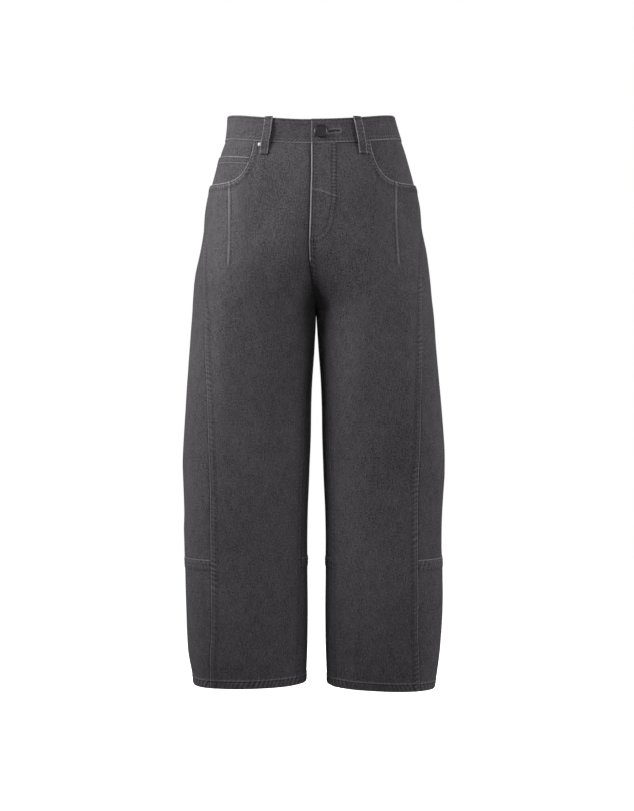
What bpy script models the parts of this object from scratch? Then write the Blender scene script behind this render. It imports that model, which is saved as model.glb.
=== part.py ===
# Barrel leg trousers in washed black denim, filled out as they are when worn.
# Sizes are in millimetres, and MM turns them into metres when a mesh is made.
# +Z is up, -Y is the front and +X is the wearer's left.
# The origin is the middle of the waist, half way up the waistband at the sides.

import math
from collections import namedtuple

import bmesh
import bpy
from mathutils import Matrix, Vector

MM = 0.001

# Cloth and gaps
GAP = 0.3
CLOTH = 1.8
LAYER_GAP = 0.5
PATCH_CLOTH = 1.3
HEM_BAND = 13.0
HEM_RAMP = 3.0
HEM_SWELL = 0.6

# Waist
BAND_HEIGHT = 38.5
BAND_CLOTH = 3.0
BAND_PROUD = 1.0
WAIST_SEAM_SIDE = -18.0
WAIST_SEAM_DIP_FRONT = 18.5
WAIST_SEAM_RISE_BACK = 12.0
UNDERLAP_ANGLE = 13.0
UNDERLAP_SHIFT = 3.5
UNDERLAP_RAMP = (66.0, 84.0)

# Crotch, cross seam and hem
CROTCH = -293.0
FORK_HEIGHT = 235.0
FORK_SPREAD = 140.0
FORK_POWER = 1.35
CROWDING = 4.0
FOLD_FADE = 25.0
ROUNDNESS = 2.2
CROSS_SEAM = -687.0
LEFT = 1
RIGHT = -1
HEM_INNER = {LEFT: -892.0, RIGHT: -889.0}
HEM_OUTER = {LEFT: -899.5, RIGHT: -894.0}

# Back yoke, front pocket mouths and coin pocket, measured down from the waist seam
YOKE_AT_SIDE = 40.0
YOKE_AT_BACK = 74.0
MOUTH_COLUMN = 0.575
MOUTH_DEPTH = 72.0
MOUTH_BEND = 6.0
MOUTH_EASE = 0.43
FACING_UNDERLAP = 14.0
COIN_POCKET_TOP = 27.0
COIN_POCKET_UNDERLAP = 7.0

# Fly shield, reaching across the centre front behind both fronts
SHIELD_ACROSS = (-14.0, -7.0, 0.0, 8.0, 16.0, 24.0, 32.0)
SHIELD_BOTTOM = -166.0
SHIELD_ROWS = 6

# Belt loops
LOOP_WIDTH = 13.0
LOOP_CLOTH = 2.0
LOOP_ABOVE_BAND = 1.5
LOOP_BELOW_BAND = 20.0

# Metal fittings
BUTTON_X = 13.5
BUTTON_HEIGHT = -18.4
BUTTON_RADIUS = 10.8
RIVET_RADIUS = 4.2
RIVET_DROP = 5.2
RIVET_BEFORE_MOUTH = 0.05

Section = namedtuple("Section", "height centre right left half_gap front back")
SeamAngle = namedtuple("SeamAngle", "height side inseam")
Ring = namedtuple("Ring", "centre half_gap across outer_half inner_half middle half_depth")
Fold = namedtuple("Fold", "side top bottom angle_top angle_bottom rise half_width")
LoopPlace = namedtuple("LoopPlace", "name side angle")
LoopStation = namedtuple("LoopStation", "along standoff")

# The outline at each height: the middle line, the outer edge on each side, half the space
# between the legs, and how far the front and the back stand from the waist's middle.
SECTIONS = [
    Section(36, -2, 137, 130, 0.15, 88, 90),
    Section(19, -2, 137, 133, 0.15, 89, 92),
    Section(-2, -2, 138.5, 139, 0.15, 90, 96),
    Section(-18, -2, 141, 144, 0.15, 92, 100),
    Section(-40, -2, 150, 152, 0.15, 96, 108),
    Section(-80, -2, 163.5, 165, 0.15, 101, 121),
    Section(-118, -3, 172, 173.5, 0.15, 104, 130),
    Section(-157, -4, 176, 177.5, 0.15, 105, 135),
    Section(-196, -5, 182, 185.5, 0.15, 105, 134),
    Section(-235, -2, 190, 190.5, 0.15, 104, 128),
    Section(-274, 4, 193.5, 193.5, 0.15, 102, 118),
    Section(-293, 5.7, 194.5, 195.5, 0.15, 101, 112),
    Section(-352, 6.5, 198.5, 200, 3.2, 98, 102),
    Section(-430, 6.5, 203.5, 207, 8, 95, 95),
    Section(-507, 6.5, 208.5, 213, 9.5, 92, 91),
    Section(-546, 6.5, 210, 213.5, 11, 90, 90),
    Section(-624, 6.5, 208, 211.5, 14, 87, 87),
    Section(-700, 6.5, 206, 210.5, 14.5, 83, 84),
    Section(-760, 6.5, 204.5, 211, 14, 79, 80),
    Section(-838, 6.5, 201.5, 206.5, 15, 71, 73),
    Section(-876, 6.5, 195, 201.5, 16, 66, 68),
    Section(-902, 6.5, 190.5, 197, 17, 62, 64),
]

# Where the side seam and the inseam lie on the leg's ring: 0 is its outer side, 90 its front.
SEAM_ANGLES = [
    SeamAngle(36, -8, 180),
    SeamAngle(-18, -8, 180),
    SeamAngle(-80, -4, 180),
    SeamAngle(-136, 2, 180),
    SeamAngle(-170, 12, 180),
    SeamAngle(-196, 23, 180),
    SeamAngle(-235, 34, 180),
    SeamAngle(-293, 43, 180),
    SeamAngle(-320, 45, 172),
    SeamAngle(-352, 47, 165),
    SeamAngle(-430, 54, 156),
    SeamAngle(-546, 60.5, 153),
    SeamAngle(-624, 61, 153),
    SeamAngle(-700, 60.3, 153),
    SeamAngle(-800, 59, 153),
    SeamAngle(-850, 55, 153),
    SeamAngle(-902, 49, 153),
]

# The largest soft folds: a ridge where rise is above 0 and a trough where it is below.
FOLDS = [
    Fold(RIGHT, -185, -345, 138, 152, -4.5, 13),
    Fold(LEFT, -190, -335, 140, 154, -4.0, 12),
    Fold(RIGHT, -80, -215, 73, 78, -2.6, 9),
    Fold(RIGHT, -100, -300, 88, 112, 2.2, 9),
    Fold(LEFT, -150, -520, 79, 127, 3.2, 13),
    Fold(RIGHT, -215, -590, 60, 80, 2.8, 9),
    Fold(LEFT, -225, -560, 58, 79, 2.6, 9),
    Fold(RIGHT, -330, -700, 118, 112, -2.4, 12),
    Fold(LEFT, -560, -700, 14, 6, -3.4, 11),
    Fold(RIGHT, -520, -640, 20, 10, -2.6, 10),
    Fold(LEFT, -300, -470, -132, -118, -4.5, 13),
    Fold(RIGHT, -290, -450, -128, -116, -4.2, 14),
    Fold(LEFT, -360, -720, -86, -98, 3.2, 14),
    Fold(RIGHT, -380, -690, -92, -100, 3.4, 13),
    Fold(LEFT, -430, -640, -40, -48, -3.0, 12),
    Fold(RIGHT, -400, -660, -44, -38, -2.8, 13),
]

# Columns across each kind of piece, as shares of its width
FRONT_COLUMNS_TO_MOUTH = 5
MOUTH_COLUMNS = (1.0, 0.985, 0.95, 0.88, 0.78, 0.6, 0.3, 0.0)
BACK_COLUMNS = 18

# Rows down each stretch, as shares of its length
YOKE_ROWS = 4
TRUNK_ROWS = (0.0, 0.09, 0.19, 0.3, 0.41, 0.52, 0.62, 0.71, 0.79, 0.86, 0.92, 0.965, 1.0)
THIGH_ROWS = 12
SHIN_ROWS = 5

BELT_LOOPS = [
    LoopPlace("belt_loop_front_left", LEFT, 61.2),
    LoopPlace("belt_loop_front_right", RIGHT, 63.4),
    LoopPlace("belt_loop_side_left", LEFT, -38.0),
    LoopPlace("belt_loop_side_right", RIGHT, -38.0),
    LoopPlace("belt_loop_back", LEFT, -90.0),
]

# How far a loop's inner face stands from the cloth, from its top end down
LOOP_STATIONS = [
    LoopStation(0.0, 1.4),
    LoopStation(0.08, 1.5),
    LoopStation(0.2, 3.9),
    LoopStation(0.45, 4.8),
    LoopStation(0.66, 4.2),
    LoopStation(0.87, 0.6),
    LoopStation(1.0, 0.6),
]


def smooth_value(rows, column, height):
    """A smooth curve through one column of a table whose heights go down."""
    last = len(rows) - 1
    if height >= rows[0].height:
        return getattr(rows[0], column)
    if height <= rows[last].height:
        return getattr(rows[last], column)
    index = next(i for i in range(last) if rows[i + 1].height <= height)

    def slope(i):
        before = rows[max(i - 1, 0)]
        after = rows[min(i + 1, last)]
        run = after.height - before.height
        return (getattr(after, column) - getattr(before, column)) / run

    upper = rows[index]
    lower = rows[index + 1]
    step = lower.height - upper.height
    u = (height - upper.height) / step
    start = getattr(upper, column)
    end = getattr(lower, column)
    rise_in = slope(index) * step
    rise_out = slope(index + 1) * step
    return (
        (2 * u**3 - 3 * u**2 + 1) * start
        + (u**3 - 2 * u**2 + u) * rise_in
        + (3 * u**2 - 2 * u**3) * end
        + (u**3 - u**2) * rise_out
    )


def smooth_step(low, high, value):
    share = min(max((value - low) / (high - low), 0.0), 1.0)
    return share * share * (3 - 2 * share)


def signed_power(value, power):
    return math.copysign(abs(value) ** power, value)


def fork_spread(height):
    """How far past the middle line each leg's ring reaches, as a share of its width."""
    return (max(height - CROTCH, 0.0) / FORK_SPREAD) ** FORK_POWER


def fork_middle(height):
    """Where the front of each leg's ring lies: 0.5 on a leg, 0 on the middle line."""
    return 0.5 - 0.5 * smooth_step(CROTCH, CROTCH + FORK_HEIGHT, height)


def ring(side, height):
    """The middle line, one leg's ring across it, and the ring's middle and half depth."""
    centre = smooth_value(SECTIONS, "centre", height)
    outer = smooth_value(SECTIONS, "left" if side == LEFT else "right", height)
    half_gap = smooth_value(SECTIONS, "half_gap", height)
    front = smooth_value(SECTIONS, "front", height)
    back = smooth_value(SECTIONS, "back", height)
    width = outer - side * centre - half_gap
    across = width * fork_middle(height)
    return Ring(
        centre=centre,
        half_gap=half_gap,
        across=half_gap + across,
        outer_half=width - across,
        inner_half=across + width * fork_spread(height),
        middle=(back - front) / 2,
        half_depth=(back + front) / 2,
    )


def centre_angle(height):
    """The ring angle at which the trunk's section meets the middle line."""
    across = fork_middle(height)
    cosine = (across / (across + fork_spread(height))) ** (ROUNDNESS / 2)
    return 180 - math.degrees(math.acos(cosine))


def inseam_angle(height):
    return smooth_value(SEAM_ANGLES, "inseam", height)


def side_angle(height):
    return smooth_value(SEAM_ANGLES, "side", height)


def column_angle(side_end, inner_end, middle_line, share):
    """
    The ring angle at a share of the way from the side seam to the inner edge. Above the
    crotch the inner edge is the middle line, and the columns near it crowd towards it.
    """
    span = inner_end - side_end
    cut = inner_end - middle_line
    if abs(cut) < 0.001:
        return side_end + span * share
    power = min(CROWDING, 0.9 * span / cut)
    return side_end + span * share - cut * share**power


def front_angle(column, height):
    inner = inseam_angle(height)
    middle_line = centre_angle(height) if height >= CROTCH else inner
    return column_angle(side_angle(height), inner, middle_line, 1 - column)


def back_angle(column, height):
    inner = inseam_angle(height) - 360
    middle_line = -centre_angle(height) if height >= CROTCH else inner
    return column_angle(side_angle(height), inner, middle_line, column)


def fold_rise(side, angle, height):
    total = 0.0
    for fold in FOLDS:
        if fold.side != side or not fold.bottom < height < fold.top:
            continue
        down = (fold.top - height) / (fold.top - fold.bottom)
        middle = fold.angle_top + (fold.angle_bottom - fold.angle_top) * down
        away = (angle - middle + 180) % 360 - 180
        ends = math.sin(math.pi * down) ** 0.8
        total += fold.rise * ends * math.exp(-((away / fold.half_width) ** 2))
    return total


def cloth_point(side, angle, height, inset=0.0, along=0.0):
    """A point of the garment's outer face, moved in by inset and round the leg by along."""
    leg = ring(side, height)
    cosine = math.cos(math.radians(angle))
    sine = math.sin(math.radians(angle))
    half_width = leg.outer_half if cosine > 0 else leg.inner_half
    power = 2 / ROUNDNESS
    x = leg.across + half_width * signed_power(cosine, power)
    y = leg.middle - leg.half_depth * signed_power(sine, power)
    normal = Vector((
        signed_power(cosine, 2 - power) / half_width,
        -signed_power(sine, 2 - power) / leg.half_depth,
    ))
    normal.normalize()
    fade = smooth_step(0.0, FOLD_FADE, x - leg.half_gap)
    out = fold_rise(side, angle, height) * fade - inset
    x += normal.x * out - normal.y * along
    y += normal.y * out + normal.x * along
    return Vector((leg.centre + side * x, y, height))


def outward(side, angle, height):
    return (cloth_point(side, angle, height, -1.0) - cloth_point(side, angle, height)).normalized()


def face_normal(side, angle, height):
    """The direction square to the cloth, tilted as the cloth is."""
    level = outward(side, angle, height)
    up = cloth_point(side, angle, height + 4) - cloth_point(side, angle, height - 4)
    square = level - up * level.dot(up) / up.length_squared
    return square.normalized()


def waist_seam(angle):
    rise = math.sin(math.radians(min(max(angle, -90), 90))) ** 2
    if angle > 0:
        return WAIST_SEAM_SIDE - WAIST_SEAM_DIP_FRONT * rise
    return WAIST_SEAM_SIDE + WAIST_SEAM_RISE_BACK * rise


def trunk_place(angle_at, column, drop_share):
    """Ring angle and height of a place between the waist seam (0) and the crotch (1)."""
    height = WAIST_SEAM_SIDE
    for _ in range(8):
        angle = angle_at(column, height)
        top = waist_seam(angle * 90 / centre_angle(height)) - GAP / 2
        height = top + (CROTCH - top) * drop_share
    return angle, height


def drop_share(drop):
    return drop / (WAIST_SEAM_SIDE - CROTCH)


def mouth_drop(column):
    """How far down the front pocket's mouth has cut the front at a column."""
    share = (1 - column) / (1 - MOUTH_COLUMN)
    if share >= 1:
        return 0.0
    return MOUTH_DEPTH * (1 - share**MOUTH_BEND) ** MOUTH_EASE


def yoke_drop(column):
    return YOKE_AT_SIDE + (YOKE_AT_BACK - YOKE_AT_SIDE) * column


def mouth_column(share):
    return 1 - share * (1 - MOUTH_COLUMN)


def hem_height(side, angle, height):
    centre = ring(side, height).centre
    across = abs(cloth_point(side, angle, height).x - centre)
    outer = abs(cloth_point(side, 0.0, height).x - centre)
    return HEM_INNER[side] + (HEM_OUTER[side] - HEM_INNER[side]) * across / outer


def solid(name, vertices, faces, material):
    """One closed object in metres from points in millimetres, its faces turned outwards."""
    mesh = bpy.data.meshes.new(name)
    mesh.from_pydata([point * MM for point in vertices], [], faces)
    shape = bmesh.new()
    shape.from_mesh(mesh)
    bmesh.ops.recalc_face_normals(shape, faces=shape.faces)
    shape.to_mesh(mesh)
    shape.free()
    mesh.shade_smooth()
    mesh.set_sharp_from_angle(angle=math.radians(50))
    mesh.materials.append(material)
    thing = bpy.data.objects.new(name, mesh)
    bpy.context.scene.collection.objects.link(thing)
    return thing


def wall(name, outer, inner, material):
    """A closed wall between two grids of points with the same rows and columns."""
    rows = len(outer)
    columns = len(outer[0])
    half = rows * columns

    def at(row, column, layer):
        return layer * half + row * columns + column

    faces = []
    for row in range(rows - 1):
        for column in range(columns - 1):
            for layer in (0, 1):
                faces.append((
                    at(row, column, layer),
                    at(row + 1, column, layer),
                    at(row + 1, column + 1, layer),
                    at(row, column + 1, layer),
                ))
    for row in range(rows - 1):
        for column in (0, columns - 1):
            faces.append((
                at(row, column, 0),
                at(row + 1, column, 0),
                at(row + 1, column, 1),
                at(row, column, 1),
            ))
    for column in range(columns - 1):
        for row in (0, rows - 1):
            faces.append((
                at(row, column, 0),
                at(row, column + 1, 0),
                at(row, column + 1, 1),
                at(row, column, 1),
            ))
    points = [point for grid in (outer, inner) for line in grid for point in line]
    return solid(name, points, faces, material)


def turned(name, profile, segments, place, normal, material):
    """A piece turned about the normal at a place, from (radius, height) pairs."""
    upright = normal.to_track_quat("Z", "Y").to_matrix().to_4x4()
    frame = Matrix.Translation(place) @ upright
    points = [frame @ Vector((0, 0, profile[0][1]))]
    for radius, height in profile:
        for step in range(segments):
            turn = 2 * math.pi * step / segments
            points.append(frame @ Vector((radius * math.cos(turn), radius * math.sin(turn), height)))
    points.append(frame @ Vector((0, 0, profile[-1][1])))
    last = len(points) - 1
    faces = []
    for step in range(segments):
        after = (step + 1) % segments
        faces.append((0, 1 + after, 1 + step))
        for level in range(len(profile) - 1):
            low = 1 + level * segments
            high = low + segments
            faces.append((low + step, low + after, high + after, high + step))
        top = 1 + (len(profile) - 1) * segments
        faces.append((top + step, top + after, last))
    return solid(name, points, faces, material)


def finish(name, colour, roughness, metallic=0.0):
    material = bpy.data.materials.new(name)
    material.use_nodes = True
    shader = material.node_tree.nodes["Principled BSDF"]
    shader.inputs["Base Color"].default_value = (*colour, 1.0)
    shader.inputs["Roughness"].default_value = roughness
    shader.inputs["Metallic"].default_value = metallic
    material.diffuse_color = (*colour, 1.0)
    return material


def seam_shift(column, height, is_front):
    """Moves a piece's edge half a gap away from its side seam or inseam."""
    at_side = 1.0 if is_front else 0.0
    toward_front = 1.0 if is_front else -1.0
    if column == at_side:
        return toward_front * GAP / 2
    if column in (0.0, 1.0) and height <= CROTCH:
        return -toward_front * GAP / 2
    return 0.0


def cloth_line(side, places, is_front, columns, inset):
    """One row of points, from (angle, height) places."""
    line = []
    for (angle, height), column in zip(places, columns):
        shift = -seam_shift(column, height, is_front)
        line.append(cloth_point(side, angle, height, inset, shift))
    return line


def leg_heights(side, angle_at, column, first, last, rows, to_hem):
    """Places down a leg between two heights, the last one on the hem where to_hem is set."""
    places = []
    for row in range(rows + 1):
        height = first + (last - first) * row / rows
        angle = angle_at(column, height)
        if to_hem:
            end = hem_height(side, angle, height) + HEM_BAND + HEM_RAMP
            height = first + (end - first) * row / rows
            angle = angle_at(column, height)
        places.append((angle, height))
    return places


def hem_places(side, angle_at, column):
    """The three rows of the turned up hem, with how far each swells."""
    rough = angle_at(column, HEM_OUTER[side])
    edge = hem_height(side, rough, HEM_OUTER[side])
    rows = []
    for above, swell in ((HEM_BAND, HEM_SWELL), (HEM_BAND / 2, HEM_SWELL), (0.0, HEM_SWELL)):
        height = edge + above
        rows.append((angle_at(column, height), height, swell))
    return rows


def cloth_wall(name, side, columns_of_places, columns, is_front, material):
    """A wall of cloth whose columns are lists of (angle, height, swell)."""
    outer = []
    inner = []
    for row in range(len(columns_of_places[0])):
        places = [column[row][:2] for column in columns_of_places]
        swell = columns_of_places[0][row][2]
        outer.append(cloth_line(side, places, is_front, columns, -swell))
        inner.append(cloth_line(side, places, is_front, columns, CLOTH + swell))
    return wall(name, outer, inner, material)


def plain(places):
    return [(angle, height, 0.0) for angle, height in places]


def front_columns():
    first = [MOUTH_COLUMN * i / FRONT_COLUMNS_TO_MOUTH for i in range(FRONT_COLUMNS_TO_MOUTH)]
    return first + [mouth_column(share) for share in MOUTH_COLUMNS]


def make_front(name, side, material):
    """One front, from the waist seam and pocket mouth down to the hem."""
    columns = front_columns()
    lines = []
    for column in columns:
        start = drop_share(mouth_drop(column))
        trunk = [
            trunk_place(front_angle, column, start + (1 - start) * share)
            for share in TRUNK_ROWS
        ]
        thigh = leg_heights(side, front_angle, column, CROTCH, CROSS_SEAM, THIGH_ROWS, False)
        shin = leg_heights(side, front_angle, column, CROSS_SEAM, HEM_OUTER[side], SHIN_ROWS, True)
        hem = hem_places(side, front_angle, column)
        lines.append(plain(trunk + thigh[1:] + shin[1:]) + hem)
    return cloth_wall(name, side, lines, columns, True, material)


def back_columns():
    return [i / BACK_COLUMNS for i in range(BACK_COLUMNS + 1)]


def make_yoke(name, side, material):
    columns = back_columns()
    lines = []
    for column in columns:
        rows = []
        for row in range(YOKE_ROWS + 1):
            share = drop_share(yoke_drop(column)) * row / YOKE_ROWS
            angle, height = trunk_place(back_angle, column, share)
            lift = GAP / 2 if row == YOKE_ROWS else 0.0
            rows.append((angle, height + lift))
        lines.append(plain(rows))
    return cloth_wall(name, side, lines, columns, False, material)


def back_trunk_shares(column):
    """Rows from the yoke to the crotch that meet the rows of the front at the side seam."""
    yoke = drop_share(yoke_drop(column))
    yoke_side = drop_share(YOKE_AT_SIDE)
    mouth_side = drop_share(MOUTH_DEPTH)
    at_side = [yoke_side, (yoke_side + mouth_side) / 2]
    at_side += [mouth_side + (1 - mouth_side) * share for share in TRUNK_ROWS]
    return [yoke + (1 - yoke) * (share - yoke_side) / (1 - yoke_side) for share in at_side]


def make_back_upper(name, side, material):
    """The back and side of one leg, from the yoke down to the cross seam."""
    columns = back_columns()
    lines = []
    for column in columns:
        trunk = [trunk_place(back_angle, column, share) for share in back_trunk_shares(column)]
        trunk[0] = (trunk[0][0], trunk[0][1] - GAP / 2)
        thigh = leg_heights(
            side, back_angle, column, CROTCH, CROSS_SEAM, THIGH_ROWS, False
        )
        thigh[-1] = (thigh[-1][0], CROSS_SEAM + GAP / 2)
        lines.append(plain(trunk + thigh[1:]))
    return cloth_wall(name, side, lines, columns, False, material)


def make_back_lower(name, side, material):
    """The back and side of one leg, from the cross seam down to the hem."""
    columns = back_columns()
    lines = []
    for column in columns:
        shin = leg_heights(side, back_angle, column, CROSS_SEAM, HEM_OUTER[side], SHIN_ROWS, True)
        shin[0] = (shin[0][0], CROSS_SEAM - GAP / 2)
        lines.append(plain(shin) + hem_places(side, back_angle, column))
    return cloth_wall(name, side, lines, columns, False, material)


def facing_depth(side):
    """How far a pocket facing lies under the front; the coin pocket lies between them."""
    depth = CLOTH + LAYER_GAP
    if side == RIGHT:
        depth += PATCH_CLOTH + LAYER_GAP
    return depth


def layer_under_front(name, side, columns, drops, depth, cloth, material):
    """A piece under the front whose columns run between two drops from the waist seam."""
    outer = [[] for _ in drops(columns[0])]
    inner = [[] for _ in drops(columns[0])]
    for column in columns:
        for row, drop in enumerate(drops(column)):
            angle, height = trunk_place(front_angle, column, drop_share(drop))
            shift = -seam_shift(column, height, True)
            outer[row].append(cloth_point(side, angle, height, depth, shift))
            inner[row].append(cloth_point(side, angle, height, depth + cloth, shift))
    return wall(name, outer, inner, material)


def make_pocket_facing(name, side, material):
    columns = front_columns()[FRONT_COLUMNS_TO_MOUTH - 1:]
    shares = (0.0, 0.26, 0.53, 0.8, 1.0)

    def drops(column):
        end = mouth_drop(column) + FACING_UNDERLAP
        return [end * share for share in shares]

    return layer_under_front(name, side, columns, drops, facing_depth(side), CLOTH, material)


def make_coin_pocket(name, material):
    columns = [mouth_column(share) for share in MOUTH_COLUMNS[2:]]
    shares = (0.0, 0.35, 0.7, 1.0)

    def drops(column):
        length = mouth_drop(column) + COIN_POCKET_UNDERLAP - COIN_POCKET_TOP
        return [COIN_POCKET_TOP + length * share for share in shares]

    depth = CLOTH + LAYER_GAP
    return layer_under_front(name, RIGHT, columns, drops, depth, PATCH_CLOTH, material)


def angle_across(side, away, height):
    """The ring angle on the front at a distance from the middle line."""
    leg = ring(side, height)
    half_width = leg.outer_half if away > leg.across else leg.inner_half
    share = min(max((away - leg.across) / half_width, -1.0), 1.0)
    return math.degrees(math.acos(signed_power(share, ROUNDNESS / 2)))


def make_fly_shield(material):
    """The strip behind the fly that joins the two fronts under the button."""
    top = waist_seam(90.0) - GAP
    outer = []
    inner = []
    for row in range(SHIELD_ROWS + 1):
        height = top + (SHIELD_BOTTOM - top) * row / SHIELD_ROWS
        front_line = []
        back_line = []
        for away in SHIELD_ACROSS:
            side = LEFT if away >= 0 else RIGHT
            angle = angle_across(side, max(abs(away), GAP / 2), height)
            point = cloth_point(side, angle, height)
            point.x = ring(side, height).centre + away
            front_line.append(point + Vector((0, CLOTH + 2 * LAYER_GAP, 0)))
            back_line.append(point + Vector((0, 2 * CLOTH + 2 * LAYER_GAP, 0)))
        outer.append(front_line)
        inner.append(back_line)
    return wall("fly_shield", outer, inner, material)


def make_waistband(material):
    """A doubled strip round the waist whose left end laps over its right end."""
    steps = 26
    places = [(LEFT, 90 - 180 * i / steps, 0.0) for i in range(steps)]
    for i in range(1, steps + 1):
        angle = -90 + 180 * i / steps
        shift = UNDERLAP_SHIFT * smooth_step(*UNDERLAP_RAMP, angle)
        places.append((RIGHT, angle, shift))
    for i in range(1, 4):
        places.append((LEFT, 90 - UNDERLAP_ANGLE * i / 3, UNDERLAP_SHIFT))
    outer = []
    inner = []
    for share in (0.0, 0.5, 1.0):
        outer_line = []
        inner_line = []
        for side, angle, shift in places:
            height = waist_seam(angle) + GAP / 2 + (BAND_HEIGHT - GAP / 2) * share
            inset = shift - BAND_PROUD
            outer_line.append(cloth_point(side, angle, height, inset))
            inner_line.append(cloth_point(side, angle, height, inset + BAND_CLOTH))
        outer.append(outer_line)
        inner.append(inner_line)
    return wall("waistband", outer, inner, material)


def make_belt_loop(place, material):
    """A strip sewn down above and below the waistband and bowed out between."""
    top = waist_seam(place.angle) + BAND_HEIGHT + LOOP_ABOVE_BAND
    length = BAND_HEIGHT + LOOP_ABOVE_BAND + LOOP_BELOW_BAND
    outer = []
    inner = []
    for station in LOOP_STATIONS:
        height = top - length * station.along
        normal = outward(place.side, place.angle, height)
        across = normal.cross(Vector((0, 0, 1))) * LOOP_WIDTH / 2
        under = cloth_point(place.side, place.angle, height, -station.standoff)
        over = under + normal * LOOP_CLOTH
        outer.append([over - across, over + across])
        inner.append([under - across, under + across])
    return wall(place.name, outer, inner, material)


def make_button(material):
    angle = angle_across(LEFT, BUTTON_X - ring(LEFT, BUTTON_HEIGHT).centre, BUTTON_HEIGHT)
    place = cloth_point(LEFT, angle, BUTTON_HEIGHT, -BAND_PROUD - GAP)
    normal = face_normal(LEFT, angle, BUTTON_HEIGHT)
    profile = [
        (3.2, 0.0),
        (3.2, 1.2),
        (9.6, 1.5),
        (BUTTON_RADIUS, 2.3),
        (BUTTON_RADIUS, 3.2),
        (9.9, 4.0),
        (8.9, 4.0),
        (8.3, 3.5),
    ]
    return turned("button", profile, 24, place, normal, material)


def make_rivet(name, side, material):
    column = MOUTH_COLUMN - RIVET_BEFORE_MOUTH
    angle, height = trunk_place(front_angle, column, drop_share(RIVET_DROP))
    place = cloth_point(side, angle, height, -GAP)
    profile = [(RIVET_RADIUS, 0.0), (RIVET_RADIUS, 0.5), (3.1, 1.1), (1.5, 1.3)]
    return turned(name, profile, 14, place, face_normal(side, angle, height), material)


def build():
    for thing in list(bpy.data.objects):
        bpy.data.objects.remove(thing, do_unlink=True)
    denim = (0.042, 0.039, 0.042)
    names = {LEFT: "left", RIGHT: "right"}
    make_waistband(finish("waistband denim", denim, 0.9))
    for side, word in names.items():
        make_front(f"front_{word}", side, finish(f"front denim {word}", denim, 0.9))
        make_yoke(f"yoke_{word}", side, finish(f"yoke denim {word}", denim, 0.9))
        make_back_upper(f"back_upper_{word}", side, finish(f"back denim {word}", denim, 0.9))
        make_back_lower(f"back_lower_{word}", side, finish(f"shin denim {word}", denim, 0.9))
        make_pocket_facing(f"pocket_facing_{word}", side, finish(f"facing denim {word}", denim, 0.9))
        make_rivet(f"rivet_{word}", side, finish(f"rivet metal {word}", (0.05, 0.048, 0.05), 0.4, 0.9))
    make_coin_pocket("coin_pocket", finish("coin pocket denim", denim, 0.9))
    make_fly_shield(finish("fly shield denim", denim, 0.9))
    for place in BELT_LOOPS:
        make_belt_loop(place, finish(f"{place.name} denim", denim, 0.9))
    make_button(finish("button metal", (0.022, 0.021, 0.023), 0.45, 0.8))


build()
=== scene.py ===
import math
from types import SimpleNamespace

import bmesh
import bpy
import numpy as np
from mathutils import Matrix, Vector


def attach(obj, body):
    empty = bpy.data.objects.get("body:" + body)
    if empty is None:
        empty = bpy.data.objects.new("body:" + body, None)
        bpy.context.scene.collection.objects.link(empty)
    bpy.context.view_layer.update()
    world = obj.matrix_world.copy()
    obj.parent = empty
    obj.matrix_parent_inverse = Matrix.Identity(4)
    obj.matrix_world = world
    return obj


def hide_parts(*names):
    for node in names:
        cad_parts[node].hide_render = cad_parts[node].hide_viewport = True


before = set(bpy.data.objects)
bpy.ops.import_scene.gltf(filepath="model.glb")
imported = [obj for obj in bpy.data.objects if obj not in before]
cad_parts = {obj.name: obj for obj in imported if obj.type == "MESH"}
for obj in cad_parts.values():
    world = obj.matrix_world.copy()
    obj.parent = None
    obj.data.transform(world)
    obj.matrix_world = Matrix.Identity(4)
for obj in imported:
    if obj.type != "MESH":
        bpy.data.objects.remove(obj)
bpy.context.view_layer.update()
bpy.ops.object.select_all(action="DESELECT")
print("frame loaded")

mm = 0.001
left, right = 1, -1
words = {left: "left", right: "right"}

# The camera stands 2.3 m in front, at mid height, and one pixel there is 1.62 mm
camera = {
    "place": (0.0073, -2.3, -0.4447),
    "lens": 63.02,
}
cameraData = bpy.data.cameras.new("camera")
cameraData.lens = camera["lens"]
cameraData.clip_end = 30
cameraObject = bpy.data.objects.new("camera", cameraData)
cameraObject.location = camera["place"]
cameraObject.rotation_euler = (math.radians(90), 0, 0)
bpy.context.scene.collection.objects.link(cameraObject)
bpy.context.scene.camera = cameraObject
bpy.context.scene.view_settings.view_transform = "Standard"


# The form of the trousers, in millimetres, as the solids have it
form = {
    "gap": 0.3,
    "cloth": 1.8,
    "layerGap": 0.5,
    "patchCloth": 1.3,
    "hemBand": 13.0,
    "hemRamp": 3.0,
    "hemSwell": 0.6,
    "bandHeight": 38.5,
    "bandCloth": 3.0,
    "bandProud": 1.0,
    "seamAtSide": -18.0,
    "seamDipFront": 18.5,
    "seamRiseBack": 12.0,
    "underlapAngle": 13.0,
    "underlapShift": 3.5,
    "crotch": -293.0,
    "forkHeight": 235.0,
    "forkSpread": 140.0,
    "forkPower": 1.35,
    "crowding": 4.0,
    "foldFade": 25.0,
    "roundness": 2.2,
    "crossSeam": -687.0,
    "hemInner": {left: -892.0, right: -889.0},
    "hemOuter": {left: -899.5, right: -894.0},
    "yokeAtSide": 40.0,
    "yokeAtBack": 74.0,
    "mouthColumn": 0.575,
    "mouthDepth": 72.0,
    "mouthBend": 6.0,
    "mouthEase": 0.43,
    "facingUnderlap": 14.0,
    "coinTop": 27.0,
    "coinUnderlap": 7.0,
}

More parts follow.
